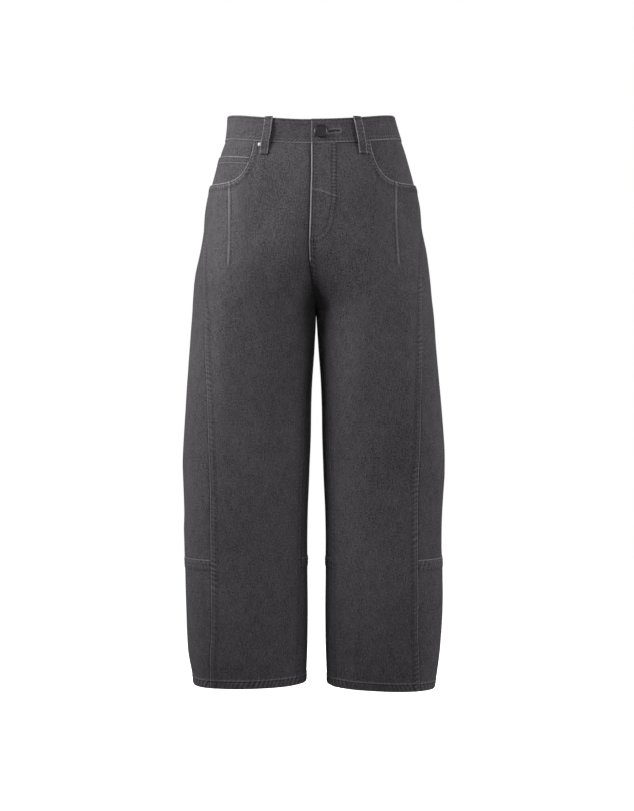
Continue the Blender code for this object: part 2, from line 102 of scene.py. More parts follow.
# height, centre, right, left, half gap, front, back
outline = np.array([
    (36, -2, 137, 130, 0.15, 88, 90),
    (19, -2, 137, 133, 0.15, 89, 92),
    (-2, -2, 138.5, 139, 0.15, 90, 96),
    (-18, -2, 141, 144, 0.15, 92, 100),
    (-40, -2, 150, 152, 0.15, 96, 108),
    (-80, -2, 163.5, 165, 0.15, 101, 121),
    (-118, -3, 172, 173.5, 0.15, 104, 130),
    (-157, -4, 176, 177.5, 0.15, 105, 135),
    (-196, -5, 182, 185.5, 0.15, 105, 134),
    (-235, -2, 190, 190.5, 0.15, 104, 128),
    (-274, 4, 193.5, 193.5, 0.15, 102, 118),
    (-293, 5.7, 194.5, 195.5, 0.15, 101, 112),
    (-352, 6.5, 198.5, 200, 3.2, 98, 102),
    (-430, 6.5, 203.5, 207, 8, 95, 95),
    (-507, 6.5, 208.5, 213, 9.5, 92, 91),
    (-546, 6.5, 210, 213.5, 11, 90, 90),
    (-624, 6.5, 208, 211.5, 14, 87, 87),
    (-700, 6.5, 206, 210.5, 14.5, 83, 84),
    (-760, 6.5, 204.5, 211, 14, 79, 80),
    (-838, 6.5, 201.5, 206.5, 15, 71, 73),
    (-876, 6.5, 195, 201.5, 16, 66, 68),
    (-902, 6.5, 190.5, 197, 17, 62, 64),
])

# height, side seam, inseam: angles round the leg
seamAngles = np.array([
    (36, -8, 180),
    (-18, -8, 180),
    (-80, -4, 180),
    (-136, 2, 180),
    (-170, 12, 180),
    (-196, 23, 180),
    (-235, 34, 180),
    (-293, 43, 180),
    (-320, 45, 172),
    (-352, 47, 165),
    (-430, 54, 156),
    (-546, 60.5, 153),
    (-624, 61, 153),
    (-700, 60.3, 153),
    (-800, 59, 153),
    (-850, 55, 153),
    (-902, 49, 153),
])

# side, top, bottom, angle at top, angle at bottom, rise, half width in degrees
largeFolds = [
    (right, -185, -345, 138, 152, -4.5, 13),
    (left, -190, -335, 140, 154, -4.0, 12),
    (right, -80, -215, 73, 78, -2.6, 9),
    (right, -100, -300, 88, 112, 2.2, 9),
    (left, -150, -520, 79, 127, 3.2, 13),
    (right, -215, -590, 60, 80, 2.8, 9),
    (left, -225, -560, 58, 79, 2.6, 9),
    (right, -330, -700, 118, 112, -2.4, 12),
    (left, -560, -700, 14, 6, -3.4, 11),
    (right, -520, -640, 20, 10, -2.6, 10),
    (left, -300, -470, -132, -118, -4.5, 13),
    (right, -290, -450, -128, -116, -4.2, 14),
    (left, -360, -720, -86, -98, 3.2, 14),
    (right, -380, -690, -92, -100, 3.4, 13),
    (left, -430, -640, -40, -48, -3.0, 12),
    (right, -400, -660, -44, -38, -2.8, 13),
]


def smoothValue(table, column, height):
    rising = -table[:, 0]
    values = table[:, column]
    slope = np.empty(len(rising))
    slope[1:-1] = (values[2:] - values[:-2]) / (rising[2:] - rising[:-2])
    slope[0] = (values[1] - values[0]) / (rising[1] - rising[0])
    slope[-1] = (values[-1] - values[-2]) / (rising[-1] - rising[-2])
    depth = np.clip(-np.asarray(height, float), rising[0], rising[-1])
    i = np.clip(np.searchsorted(rising, depth, side="right") - 1, 0, len(rising) - 2)
    step = rising[i + 1] - rising[i]
    u = (depth - rising[i]) / step
    return (
        (2 * u**3 - 3 * u**2 + 1) * values[i]
        + (u**3 - 2 * u**2 + u) * slope[i] * step
        + (3 * u**2 - 2 * u**3) * values[i + 1]
        + (u**3 - u**2) * slope[i + 1] * step
    )


def smoothStep(low, high, value):
    share = np.clip((value - low) / (high - low), 0, 1)
    return share * share * (3 - 2 * share)


def signedPower(value, power):
    return np.sign(value) * np.abs(value) ** power


def forkSpread(height):
    return (np.maximum(height - form["crotch"], 0) / form["forkSpread"]) ** form["forkPower"]


def forkMiddle(height):
    return 0.5 - 0.5 * smoothStep(form["crotch"], form["crotch"] + form["forkHeight"], height)


def ringAt(side, height):
    centre = smoothValue(outline, 1, height)
    outer = smoothValue(outline, 3 if side == left else 2, height)
    halfGap = smoothValue(outline, 4, height)
    front = smoothValue(outline, 5, height)
    back = smoothValue(outline, 6, height)
    width = outer - side * centre - halfGap
    across = width * forkMiddle(height)
    return SimpleNamespace(
        centre=centre,
        halfGap=halfGap,
        across=halfGap + across,
        outerHalf=width - across,
        innerHalf=across + width * forkSpread(height),
        middle=(back - front) / 2,
        halfDepth=(back + front) / 2,
    )


def centreAngle(height):
    across = forkMiddle(height)
    reach = across + forkSpread(height)
    cosine = (across / np.maximum(reach, 1e-9)) ** (form["roundness"] / 2)
    return 180 - np.degrees(np.arccos(np.clip(cosine, 0, 1)))


def columnAngle(sideEnd, innerEnd, middleLine, share):
    span = innerEnd - sideEnd
    cut = innerEnd - middleLine
    safeCut = np.where(np.abs(cut) < 0.001, 1.0, cut)
    power = np.clip(0.9 * span / safeCut, 0.0, form["crowding"])
    power = np.where(safeCut * span < 0, form["crowding"], power)
    return sideEnd + span * share - np.where(np.abs(cut) < 0.001, 0.0, cut) * share**power


def frontAngle(column, height):
    inner = smoothValue(seamAngles, 2, height)
    middleLine = np.where(height >= form["crotch"], centreAngle(height), inner)
    return columnAngle(smoothValue(seamAngles, 1, height), inner, middleLine, 1 - column)


def backAngle(column, height):
    inner = smoothValue(seamAngles, 2, height) - 360
    middleLine = np.where(height >= form["crotch"], -centreAngle(height), inner)
    return columnAngle(smoothValue(seamAngles, 1, height), inner, middleLine, column)


def foldRise(side, angle, height):
    total = np.zeros(np.broadcast(angle, height).shape)
    for foldSide, top, bottom, angleTop, angleBottom, rise, halfWidth in largeFolds:
        if foldSide == side:
            down = np.clip((top - height) / (top - bottom), 0, 1)
            away = (angle - angleTop - (angleBottom - angleTop) * down + 180) % 360 - 180
            ends = np.abs(np.sin(math.pi * down)) ** 0.8
            total = total + rise * ends * np.exp(-((away / halfWidth) ** 2))
    return total


def clothPoint(side, angle, height, out=0.0, along=0.0):
    leg = ringAt(side, height)
    cosine = np.cos(np.radians(angle))
    sine = np.sin(np.radians(angle))
    halfWidth = np.where(cosine > 0, leg.outerHalf, leg.innerHalf)
    power = 2 / form["roundness"]
    x = leg.across + halfWidth * signedPower(cosine, power)
    y = leg.middle - leg.halfDepth * signedPower(sine, power)
    nx = signedPower(cosine, 2 - power) / halfWidth
    ny = -signedPower(sine, 2 - power) / leg.halfDepth
    length = np.hypot(nx, ny)
    nx, ny = nx / length, ny / length
    fade = smoothStep(0, form["foldFade"], x - leg.halfGap)
    out = foldRise(side, angle, height) * fade + out
    x = x + nx * out - ny * along
    y = y + ny * out + nx * along
    flat = 0 * x
    points = np.stack([leg.centre + side * x, y, height + flat], -1)
    return points, np.stack([side * nx, ny, flat], -1)


def waistSeam(angle):
    rise = np.sin(np.radians(np.clip(angle, -90, 90))) ** 2
    front = form["seamAtSide"] - form["seamDipFront"] * rise
    return np.where(angle > 0, front, form["seamAtSide"] + form["seamRiseBack"] * rise)


def trunkPlace(angleAt, column, share):
    height = form["seamAtSide"] + 0 * share
    for _ in range(8):
        angle = angleAt(column, height)
        top = waistSeam(angle * 90 / centreAngle(height)) - form["gap"] / 2
        height = top + (form["crotch"] - top) * share
    return angle, height


def dropShare(drop):
    return drop / (form["seamAtSide"] - form["crotch"])


def mouthDrop(column):
    share = np.clip((1 - column) / (1 - form["mouthColumn"]), 0, 1)
    return form["mouthDepth"] * (1 - share ** form["mouthBend"]) ** form["mouthEase"]


def yokeDrop(column):
    return form["yokeAtSide"] + (form["yokeAtBack"] - form["yokeAtSide"]) * column


def hemEdge(side, angleAt, column):
    height = form["hemOuter"][side]
    points, _ = clothPoint(side, angleAt(column, height), height + 0 * column)
    outerPoint, _ = clothPoint(side, 0.0, height)
    centre = smoothValue(outline, 1, height)
    across = np.abs(points[..., 0] - centre) / abs(outerPoint[0] - centre)
    return form["hemInner"][side] + (form["hemOuter"][side] - form["hemInner"][side]) * across


def shares(length, close, apart, startBand=12.0, endBand=12.0):
    # places along a length as shares of it, closer together near its ends
    stops = [0.0]
    while stops[-1] < length:
        near = stops[-1] < startBand or stops[-1] > length - endBand
        stops.append(stops[-1] + (close if near else apart))
    return np.array(stops) / stops[-1]


# Grids of places on each panel, as angle, height and swell
def frontColumns():
    plain = form["mouthColumn"] * shares(132, 0.9, 2.0, 12, 0)
    falls = np.arange(0, 44, 1.4) / form["mouthDepth"]
    steep = (1 - falls ** (1 / form["mouthEase"])) ** (1 / form["mouthBend"])
    rest = steep[-1] * (1 - shares(78, 1.6, 1.8, 0, 12))
    edge = np.concatenate([steep[1:], rest[1:-1], [0.0]])
    return np.concatenate([plain, 1 - edge * (1 - form["mouthColumn"])])


def shinPlaces(side, angleAt, columns, first):
    edge = hemEdge(side, angleAt, columns)
    steps = shares(206, 0.95, 2.2, 13, 18)[:, None]
    height = first + (edge - first) * steps
    above = height - edge
    swell = form["hemSwell"] * smoothStep(form["hemBand"] + form["hemRamp"], form["hemBand"], above)
    return angleAt(columns, height), height, swell


def thighPlaces(angleAt, columns, last):
    steps = shares(394, 2.3, 2.3, 0, 0)[1:, None]
    height = form["crotch"] + (last - form["crotch"]) * steps + 0 * columns
    return angleAt(columns, height), height, 0 * height


def joinPlaces(*parts):
    return [np.concatenate([part[i] for part in parts]) for i in range(3)]


def frontPlaces(side, columns):
    start = dropShare(mouthDrop(columns))
    share = start + (1 - start) * shares(275, 0.95, 2.2, 12, 0)[:, None]
    angle, height = trunkPlace(frontAngle, columns + 0 * share, share)
    shin = shinPlaces(side, frontAngle, columns, form["crossSeam"])
    thigh = thighPlaces(frontAngle, columns, form["crossSeam"])
    return joinPlaces((angle, height, 0 * height), thigh, [part[1:] for part in shin])


def backUpperPlaces(side, columns):
    start = dropShare(yokeDrop(columns))
    share = start + (1 - start) * shares(215, 0.95, 2.3, 12, 0)[:, None]
    angle, height = trunkPlace(backAngle, columns + 0 * share, share)
    height[0] -= form["gap"] / 2
    thigh = thighPlaces(backAngle, columns, form["crossSeam"] + form["gap"] / 2)
    return joinPlaces((angle, height, 0 * height), thigh)


def backLowerPlaces(side, columns):
    return shinPlaces(side, backAngle, columns, form["crossSeam"] - form["gap"] / 2)


def yokePlaces(side, columns):
    share = dropShare(yokeDrop(columns)) * shares(56, 1.1, 1.5)[:, None]
    angle, height = trunkPlace(backAngle, columns + 0 * share, share)
    height[-1] += form["gap"] / 2
    return angle, height, 0 * height


def seamShift(columns, height, isFront):
    # half the gap at a panel's side seam and inseam
    half = form["gap"] / 2 * (1 if isFront else -1)
    shift = np.zeros(height.shape)
    sideColumn, innerColumn = (-1, 0) if isFront else (0, -1)
    shift[:, sideColumn] = -half
    shift[:, innerColumn] = np.where(height[:, innerColumn] <= form["crotch"], half, 0)
    return shift


def arcs(points, axis):
    steps = np.linalg.norm(np.diff(points, axis=axis), axis=-1)
    total = np.cumsum(steps, axis=axis)
    return np.concatenate([0 * total.take([0], axis), total], axis)


def pathDistance(points, path):
    # distance to a path of points, and how far along it the nearest place is
    flat = points.reshape(-1, points.shape[-1])
    best = np.full(len(flat), 1e9)
    along = np.zeros(len(flat))
    near = np.nonzero(np.all((flat > path.min(0) - 30) & (flat < path.max(0) + 30), axis=1))[0]
    spot = flat[near]
    nearest, place, run = best[near], along[near], 0.0
    for start, end in zip(path[:-1], path[1:]):
        step = end - start
        length = np.linalg.norm(step)
        share = np.clip((spot - start) @ step / length**2, 0, 1)
        away = np.linalg.norm(spot - start - share[:, None] * step, axis=1)
        closer = away < nearest
        nearest = np.where(closer, away, nearest)
        place = np.where(closer, run + share * length, place)
        run += length
    best[near], along[near] = nearest, place
    return best.reshape(points.shape[:-1]), along.reshape(points.shape[:-1])


def clothMesh(name, outer, inner, uv, marks, picks):
    # a closed wall: a fine outer grid, a coarse inner one and a rim
    rows, columns = outer.shape[:2]
    pickRows, pickColumns = picks
    count = rows * columns
    index = np.arange(count).reshape(rows, columns)
    innerIndex = count + np.arange(len(pickRows) * len(pickColumns)).reshape(len(pickRows), -1)

    def quads(grid):
        cells = [grid[:-1, :-1], grid[1:, :-1], grid[1:, 1:], grid[:-1, 1:]]
        return np.stack(cells, -1).reshape(-1, 4)

    faces = quads(index).tolist() + quads(innerIndex)[:, ::-1].tolist()
    for fineLine, coarseLine, cuts in (
        (index[0], innerIndex[0], pickColumns),
        (index[-1], innerIndex[-1], pickColumns),
        (index[:, 0], innerIndex[:, 0], pickRows),
        (index[:, -1], innerIndex[:, -1], pickRows),
    ):
        for i in range(len(cuts) - 1):
            span = fineLine[cuts[i]:cuts[i + 1] + 1].tolist()
            faces.append(span + [int(coarseLine[i + 1]), int(coarseLine[i])])
    points = np.concatenate([outer.reshape(-1, 3), inner.reshape(-1, 3)]) * mm
    mesh = bpy.data.meshes.new(name)
    mesh.from_pydata(points.tolist(), [], faces)
    shape = bmesh.new()
    shape.from_mesh(mesh)
    bmesh.ops.recalc_face_normals(shape, faces=shape.faces)
    shape.to_mesh(mesh)
    shape.free()
    corner = np.empty(len(mesh.loops), np.int32)
    mesh.loops.foreach_get("vertex_index", corner)
    flatUv = uv.reshape(-1, 2)
    innerUv = uv[np.ix_(pickRows, pickColumns)].reshape(-1, 2)
    allUv = np.concatenate([flatUv, innerUv])
    layer = mesh.uv_layers.new(name="grain")
    layer.data.foreach_set("uv", allUv[corner].astype(np.float32).ravel())
    for word, values in marks.items():
        attribute = mesh.attributes.new(word, "FLOAT", "POINT")
        allValues = np.concatenate([values.ravel(), np.zeros(len(points) - count)])
        attribute.data.foreach_set("value", allValues.astype(np.float32))
    mesh.shade_smooth()
    mesh.set_sharp_from_angle(angle=math.radians(50))
    piece = bpy.data.objects.new(name, mesh)
    bpy.context.scene.collection.objects.link(piece)
    return piece


def everyFourth(count):
    return np.unique(np.append(np.arange(0, count, 4), count - 1))


def thicken(name, points, normals, relief, cloth, uv, marks):
    # the wall behind a grid of points; the inner face leaves out the fine relief
    picks = everyFourth(points.shape[0]), everyFourth(points.shape[1])
    inner = (points - normals * cloth)[np.ix_(*picks)]
    inner = inner + normals[np.ix_(*picks)] * relief["broad"][np.ix_(*picks)][..., None]
    outer = points + normals * (relief["broad"] + relief["fine"])[..., None]
    piece = clothMesh(name, outer, inner, uv, marks, picks)
    return SimpleNamespace(piece=piece, outer=outer, normals=normals)


# Cloth relief: seams and puckers, as outward moves in millimetres, with pale wear marks and painted shade
def wobble(along, seed):
    return np.sin(along / 37 + seed) + 0.7 * np.sin(along / 13 + 2.3 * seed)


class Relief:
    def __init__(self, shape):
        self.broad = np.zeros(shape)
        self.fine = np.zeros(shape)
        self.wear = np.zeros(shape)
        self.shade = np.zeros(shape)

    def seam(self, away, along, rows, band, rise, period, pucker, seed, pale=0.6, dark=0.7):
        # doubled cloth beside a seam, its stitch grooves, and the puckers that they draw in; the shade marks
        # are painted shade in the grooves, in the pucker hollows and beside the band
        inside = (1 - smoothStep(band - 1.0, band + 1.2, away)) * (away > -0.5)
        edge = np.exp(-((away / 0.7) ** 2))
        drift = 2.2 * wobble(along, seed) + 1.1 * wobble(along * 2.3, seed + 4)
        phase = 2 * math.pi * (along + 0.35 * away) / period + drift
        strength = np.clip(0.55 + 0.45 * wobble(along * 0.8, seed * 1.7) / 1.2, 0.1, 1)
        reach = np.exp(-(((away - band / 2) / (band * 0.62)) ** 2))
        crest = np.sin(phase) * strength * reach
        self.fine += rise * inside - 0.55 * edge + pucker * crest
        for row in rows:
            groove = np.exp(-(((away - row) / 0.85) ** 2))
            self.fine -= 0.42 * groove
            self.shade += dark * groove * (0.62 - 0.45 * crest)
        lip = np.exp(-(((away - 0.4) / 0.8) ** 2))
        self.wear += pale * lip * (0.75 + 0.25 * wobble(along, seed + 2) / 1.7)
        self.wear += 0.34 * pale * np.clip(crest, 0, 1) * inside
        self.shade += 0.30 * dark * np.clip(-crest, 0, 1) * inside
        self.shade += 0.3 * dark * np.exp(-(((away - band - 1.2) / 1.2) ** 2))

    def marks(self):
        return {"wear": np.clip(self.wear, 0, 1), "shade": np.clip(self.shade, 0, 1)}

    def moves(self):
        return {"broad": self.broad, "fine": self.fine}


def softUnevenness(points, normals, seed):
    # slow hand-made unevenness of washed cloth, longer down the leg than across
    x, y, z = (points[..., i] for i in range(3))
    across = x * np.abs(normals[..., 1]) + y * np.abs(normals[..., 0])
    waves = 0.28 * np.sin(across / 17 + z / 90 + seed) * np.sin(z / 61 + 1.3 * seed)
    waves += 0.22 * np.sin(across / 9.5 - z / 47 + 2.1 * seed) * np.sin(z / 38 + 0.4 * seed)
    waves += 0.10 * np.sin(across / 4.6 + z / 29 + 0.7 * seed) * np.sin(z / 17 - seed)
    return waves


def uprightLine(points, across, columns):
    # how far along each row an upright line lies, so that the grain runs straight down
    first, middle, last = columns.searchsorted([0.2, 0.42, 0.8])
    steady = np.median(points[:, middle, 0])
    x = points[:, first:last, 0]
    rows = np.arange(len(x))
    pick = np.clip(np.abs(x - steady).argmin(axis=1), 1, x.shape[1] - 2)
    turn = np.sign(x[rows, pick + 1] - x[rows, pick - 1])
    near = across[rows, first + pick] + turn * (steady - x[rows, pick])
    return near[:, None]


def panel(name, side, columns, places, isFront, dress, seed):
    angle, height, swell = places
    shift = seamShift(columns, height, isFront)
    points, normals = clothPoint(side, angle, height, swell, shift)
    relief = Relief(height.shape)
    relief.broad += softUnevenness(points, normals, seed)
    across = arcs(points, 1)
    down = arcs(points, 0)
    spots = SimpleNamespace(
        points=points,
        columns=columns,
        fromFirst=across,
        fromLast=across[:, -1:] - across,
        fromTop=down,
        fromHem=down[-1:] - down,
    )
    dress(relief, spots)
    uv = np.stack([across - uprightLine(points, across, columns) + 300 * seed, points[..., 2]], -1) * mm
    return thicken(name, points, normals, relief.moves(), form["cloth"], uv, relief.marks())


# Lines sewn on the fronts, as places across and down in the front view
fly = {
    "outerRow": [(37.5, -36), (37, -80), (36.8, -122), (35.3, -144), (29, -172), (15, -187.5), (-2, -191)],
    "innerRow": [(30.5, -36), (30, -80), (30, -122), (27, -144), (21.5, -168), (10.4, -181.5), (-2, -184.5)],
    "slant": [(0, -110), (17, -113.5), (38, -121)],
    "stitch": 5.4,
    "edgeStitch": 5.2,
}
darts = {
    right: [(-131.4, -92), (-130.2, -150), (-130.4, -217), (-133.5, -232)],
    left: [(132.0, -92), (131.2, -150), (134.0, -217), (137.0, -232)],
}


def smoothPath(path, steps=6):
    # a curve through drawn places
    spots = np.array(path, float)
    padded = np.concatenate([2 * spots[:1] - spots[1:2], spots, 2 * spots[-1:] - spots[-2:-1]])
    made = []
    for i in range(len(spots) - 1):
        a, b, c, d = padded[i:i + 4]
        for u in np.arange(steps) / steps:
            made.append(
                b + 0.5 * u * (c - a + u * (2 * a - 5 * b + 4 * c - d + u * (3 * (b - c) + d - a)))
            )
    return np.array(made + [spots[-1]])


def frontView(points):
    return points[..., [0, 2]]


def dressDart(relief, spots, side):
    # a pale worn ridge down the dart, with painted shade in the grooves on either side
    away, along = pathDistance(frontView(spots.points), smoothPath(darts[side]))
    end = smoothStep(0, 12, 140 - along) * (spots.points[..., 1] < 0)
    ridge = np.exp(-((away / 1.5) ** 2)) * end
    flank = np.exp(-(((away - 2.9) / 0.9) ** 2)) * end
    relief.fine += 0.85 * ridge - 0.5 * flank
    relief.wear += 0.42 * ridge * (0.8 + 0.2 * wobble(along, 2.2))
    relief.shade += 0.85 * flank * (0.8 + 0.2 * np.sin(along * 2.1))


def dressFly(relief, spots, side):
    flat = frontView(spots.points)
    x, z = flat[..., 0], flat[..., 1]
    if side == left:
        outer, along = pathDistance(flat, smoothPath(fly["outerRow"]))
        inner, _ = pathDistance(flat, smoothPath(fly["innerRow"]))
        bend = 0.012 * (z + 120) ** 2 * (z < -120)
        inside = smoothStep(-193, -186, z) * smoothStep(39, 36, x + bend)
        relief.fine += 0.45 * inside
        # the lapped front edge: thick, pale and rolled, with painted shade beside it and at its edge
        # stitches
        edge = spots.fromFirst
        above = smoothStep(-232, -205, z)
        lapped = 1.25 * (1 - smoothStep(30, 48, edge))
        relief.fine += above * (lapped - 0.5 * np.exp(-((edge / 0.8) ** 2)))
        lip = np.exp(-(((edge - 0.9) / 1.0) ** 2))
        relief.wear += above * 0.95 * lip
        relief.shade += above * 0.75 * np.exp(-(((edge - 3.4) / 0.9) ** 2))
        ticks = 0.5 + 0.5 * np.sin(2 * math.pi * z / fly["edgeStitch"] + 1.5 * wobble(z, 1.2))
        relief.shade += above * 0.5 * ticks * np.exp(-(((edge - 7.5) / 3.2) ** 2))
        relief.fine -= above * 0.25 * ticks * np.exp(-(((edge - 7.5) / 3.2) ** 2))
        # the two stitch rows: grooves with painted shade, and puckers between them with pale wear on the
        # crests and painted shade in the hollows
        for away, seed in ((outer, 0.4), (inner, 1.9)):
            groove = np.exp(-((away / 1.0) ** 2))
            beat = 0.55 + 0.45 * np.sin(2 * math.pi * along / fly["stitch"] + wobble(along, seed))
            relief.fine -= 0.5 * groove * (0.6 + 0.4 * beat)
            relief.shade += 0.9 * groove * (0.45 + 0.55 * beat)
        between = np.exp(-(((outer + inner - 6.5) / 2.4) ** 2)) * (outer < 9) * (inner < 9)
        beat = np.sin(2 * math.pi * along / fly["stitch"] + wobble(along, 2.5))
        relief.fine += 0.28 * between * beat
        relief.wear += 0.20 * between * np.clip(beat, 0, 1)
        relief.shade += 0.30 * between * np.clip(-beat, 0, 1)
        # the slanted row: a raised line with pale wear on it and painted shade below it
        slant, _ = pathDistance(flat, smoothPath(fly["slant"]))
        relief.fine += 0.5 * np.exp(-(((slant - 0.4) / 1.2) ** 2))
        relief.wear += 0.35 * np.exp(-((slant / 0.9) ** 2))
        relief.shade += 0.5 * np.exp(-(((slant - 2.2) / 0.9) ** 2)) * (z < -112 - 0.28 * x)
        # below the fly the rise is a felled seam with two rows
        rise = np.where((z < -188) & (z > form["crotch"]), spots.fromFirst, 99)
        relief.seam(rise, z, (1.8, 7.4), 9.2, 0.5, 6.6, 0.20, 0.7, pale=0.35, dark=0.85)
    else:
        # painted shade along the front edge, under the lapped fly
        near = np.where(z > form["crotch"], spots.fromFirst, 99)
        relief.shade += 0.75 * np.exp(-((near / 2.2) ** 2)) + 0.25 * np.exp(-((near / 7.0) ** 2))


def dressFront(side):
    def dress(relief, spots):
        height = spots.points[..., 2]
        leg = height < form["crotch"] + 4
        # forward side seam, sewn down on the front with two rows
        relief.seam(
            spots.fromLast, height, (2.4, 8.6), 10.6, 0.75, 7.4, 0.24, 1.3 * side, pale=0.55, dark=0.85,
        )
        # inseam
        relief.seam(
            np.where(leg, spots.fromFirst, 99), height, (1.8, 7.6), 9.6, 0.6, 8.1, 0.18, 2.1 * side,
            pale=0.2, dark=0.8,
        )
        # waist seam and the hollow under it, with painted shade in that hollow
        plain = spots.columns < form["mouthColumn"]
        top = np.where(plain, spots.fromTop, 99)
        relief.fine -= 0.5 * np.exp(-((top / 0.9) ** 2))
        relief.shade += 0.6 * np.exp(-((top / 1.6) ** 2))
        # scoop pocket mouth
        mouth = spots.points[0, ~plain]
        away, along = pathDistance(spots.points, mouth)
        relief.seam(away, along, (2.3, 7.9), 9.6, 0.85, 5.6, 0.20, 3.9 * side, pale=0.95, dark=0.95)
        dressDart(relief, spots, side)
        dressFly(relief, spots, side)
        hemDress(relief, spots, side)
    return dress


def hemDress(relief, spots, seed):
    # turned-up hem: roped puckers across the band, and its row of stitches, with painted shade in the stitch
    # groove and between the puckers
    up = spots.fromHem
    run = spots.fromFirst
    inBand = smoothStep(form["hemBand"] + 1.5, form["hemBand"] - 1.5, up)
    phase = 2 * math.pi * (run + 0.4 * up) / 7.6 + 2.4 * wobble(run, 1.7 * seed)
    strength = np.clip(0.6 + 0.4 * wobble(run * 0.7, seed + 2.2), 0.15, 1)
    crest = np.sin(phase) * strength
    reach = np.exp(-(((up - 6.5) / 6.5) ** 2))
    relief.fine += 0.42 * crest * reach - 0.7 * np.exp(-((up / 0.9) ** 2))
    relief.broad += 0.35 * wobble(run, seed + 1) * np.exp(-((up / 16) ** 2))
    groove = np.exp(-(((up - 11.4) / 0.9) ** 2))
    relief.fine -= 0.45 * groove
    relief.shade += 0.85 * groove * (0.75 - 0.25 * crest)
    relief.wear += 0.38 * np.exp(-(((up - 13.6) / 0.9) ** 2)) * (0.7 + 0.3 * crest)
    relief.wear += (0.16 * np.clip(crest, 0, 1) + 0.22 * np.exp(-((up / 1.3) ** 2))) * inBand
    relief.shade += 0.42 * np.clip(-crest, 0, 1) * reach


def dressBackUpper(side):
    def dress(relief, spots):
        height = spots.points[..., 2]
        leg = height < form["crotch"] + 4
        # a groove at the side seam with painted shade in it, and painted shade at the inseam
        relief.fine -= 0.55 * np.exp(-((spots.fromFirst / 0.7) ** 2))
        relief.shade += 0.5 * np.exp(-((spots.fromFirst / 1.4) ** 2))
        relief.shade += 0.5 * np.where(leg, np.exp(-((spots.fromLast / 1.6) ** 2)), 0)
        # centre back seam, lapped on the wearer's left, and the yoke's lap above
        if side == left:
            rise = np.where(leg, 99, spots.fromLast)
            relief.seam(rise, height, (2.0, 8.2), 10.2, 0.7, 7.2, 0.26, 3.3)
        # painted shade along the top and bottom seams
        relief.shade += 0.5 * np.exp(-((spots.fromTop / 1.5) ** 2))
        relief.shade += 0.5 * np.exp(-((spots.fromHem / 1.2) ** 2))
    return dress


def dressBackLower(side):
    def dress(relief, spots):
        # a groove at the side seam with painted shade in it
        relief.fine -= 0.55 * np.exp(-((spots.fromFirst / 0.7) ** 2))
        relief.shade += 0.5 * np.exp(-((spots.fromFirst / 1.4) ** 2))
        relief.seam(
            spots.fromTop, spots.fromFirst, (2.0, 8.6, 14.4), 16.2, 0.8, 7.0, 0.30, 4.1 * side, pale=0.8
        )
        hemDress(relief, spots, side)
    return dress


def dressYoke(side):
    def dress(relief, spots):
        relief.seam(spots.fromHem, spots.fromFirst, (2.0, 8.2), 10.2, 0.7, 7.2, 0.26, 2.7 * side)
        relief.fine -= 0.5 * np.exp(-((spots.fromFirst / 0.7) ** 2))
        if side == left:
            relief.seam(spots.fromLast, spots.points[..., 2], (2.0, 8.2), 10.2, 0.6, 7.0, 0.2, 5.3)
    return dress


panels = {}
backColumns = shares(372, 0.95, 2.3)
for side, word in words.items():
    columns = frontColumns()
    panels[f"front_{word}"] = panel(
        f"denim_front_{word}", side, columns, frontPlaces(side, columns), True,
        dressFront(side), 1.0 + side * 0.31,
    )
    panels[f"back_upper_{word}"] = panel(
        f"denim_back_{word}", side, backColumns, backUpperPlaces(side, backColumns), False,
        dressBackUpper(side), 2.0 + side * 0.27,
    )
    panels[f"back_lower_{word}"] = panel(
        f"denim_shin_{word}", side, backColumns, backLowerPlaces(side, backColumns), False,
        dressBackLower(side), 3.0 + side * 0.23,
    )
    yokeColumns = shares(190, 0.95, 1.6)
    panels[f"yoke_{word}"] = panel(
        f"denim_yoke_{word}", side, yokeColumns, yokePlaces(side, yokeColumns), False,
        dressYoke(side), 4.0 + side * 0.19,
    )
    print("panels made", word)


# Pocket facings, coin pocket and fly shield, under the fronts
def underPlaces(columns, drops):
    angle, height = trunkPlace(frontAngle, columns + 0 * drops, dropShare(drops))
    return angle, height


def facingInset(side, columns, drops):
    # a facing lies under the front at the mouth and level with it at the waist seam
    exposed = np.maximum(mouthDrop(columns), 0.01)
    down = smoothStep(0.0, 0.85, drops / exposed)
    return facingDepth[side] * (0.12 + 0.88 * down)


def underPanel(name, side, columns, drops, depth, cloth, dress, seed):
    angle, height = underPlaces(columns, drops)
    shift = seamShift(columns, height, True)
    shift[:, 0] = 0
    points, normals = clothPoint(side, angle, height, -depth, shift)
    relief = Relief(height.shape)
    relief.broad += 0.6 * softUnevenness(points, normals, seed)
    across, down = arcs(points, 1), arcs(points, 0)
    spots = SimpleNamespace(
        points=points, fromFirst=across, fromLast=across[:, -1:] - across,
        fromTop=down, fromHem=down[-1:] - down,
    )
    dress(relief, spots)
    uv = np.stack([across + 300 * seed, -down], -1) * mm
    return thicken(name, points, normals, relief.moves(), cloth, uv, relief.marks())


facingDepth = {
    left: form["cloth"] + form["layerGap"],
    right: form["cloth"] + form["patchCloth"] + 2 * form["layerGap"],
}


def mouthColumns(first):
    share = first * (1 - shares(98 * first, 1.2, 1.7))
    return 1 - share * (1 - form["mouthColumn"])


def plainDress(relief, spots):
    relief.wear += 0.2 * np.exp(-((spots.fromFirst / 1.5) ** 2))


def coinDress(relief, spots):
    relief.seam(spots.fromTop, spots.fromFirst, (2.4, 8.4), 10.4, 0.4, 5.4, 0.22, 6.1, pale=0.8, dark=0.9)
    relief.wear += 0.3 * np.exp(-(((spots.fromTop - 9.9) / 0.9) ** 2))


